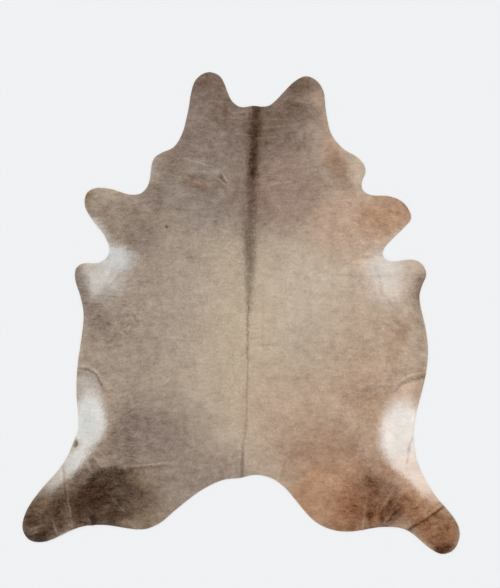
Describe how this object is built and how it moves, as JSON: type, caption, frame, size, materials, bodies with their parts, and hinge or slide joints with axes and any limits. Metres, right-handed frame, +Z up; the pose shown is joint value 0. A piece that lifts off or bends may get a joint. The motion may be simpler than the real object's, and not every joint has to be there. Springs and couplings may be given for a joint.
{
  "type": "cowhide rug",
  "caption": "Whole hair-on cowhide laid flat as a rug, with neck, forelegs, flanks, hind legs and a dark line along the spine.",
  "frame": {"origin": "bottom centre of the hide's bounding box, on the surface it lies on", "axes": "+Z up through the hair side, +Y along the spine towards the neck, +X across the hide"},
  "size_m": [2.1396, 2.3584, 0.0089],
  "materials": {
    "hair_coat": "short smooth hair with a low sheen, taupe to grey-brown",
    "flesh_side": "matt sueded skin"
  },
  "bodies": {
    "root": {"hide": "hair_coat"}
  },
  "joints": []
}
